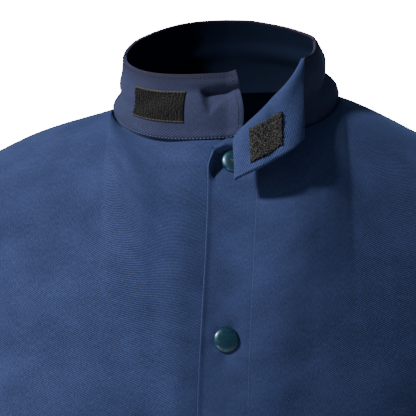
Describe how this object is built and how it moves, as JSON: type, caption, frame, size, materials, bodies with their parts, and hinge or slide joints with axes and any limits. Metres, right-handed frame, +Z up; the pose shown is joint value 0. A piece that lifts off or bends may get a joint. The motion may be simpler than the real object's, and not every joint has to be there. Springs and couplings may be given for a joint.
{
  "type": "flame-resistant work jacket",
  "caption": "Worn navy work jacket with a stand collar, one collar end turned open on a touch fastener, a snap front with a placket, and set-in sleeves.",
  "frame": {"origin": "middle of the neck opening at the mean height of the side neck points, where the jacket sits on the shoulders", "axes": "+Z up, the front faces -Y, the wearer's left is +X"},
  "size_m": [0.7896, 0.2621, 0.8159],
  "materials": {
    "navy_twill": "heavy cotton twill, navy, matte",
    "hook_tape": "rows of moulded nylon hooks on woven tape",
    "loop_tape": "brushed nylon loops on woven tape",
    "cap_paint": "dark teal gloss paint on a pressed cap",
    "snap_brass": "plain turned brass"
  },
  "bodies": {
    "root": {"left_front": "navy_twill", "right_front": "navy_twill", "back": "navy_twill", "left_sleeve": "navy_twill", "right_sleeve": "navy_twill", "collar": "navy_twill", "hook_patch": "hook_tape", "loop_patch": "loop_tape", "snap_cap_1": "cap_paint", "snap_cap_2": "cap_paint", "snap_cap_3": "cap_paint", "snap_cap_4": "cap_paint", "snap_cap_5": "cap_paint", "snap_stud_1": "snap_brass", "snap_stud_2": "snap_brass", "snap_stud_3": "snap_brass", "snap_stud_4": "snap_brass", "snap_stud_5": "snap_brass"}
  },
  "joints": []
}
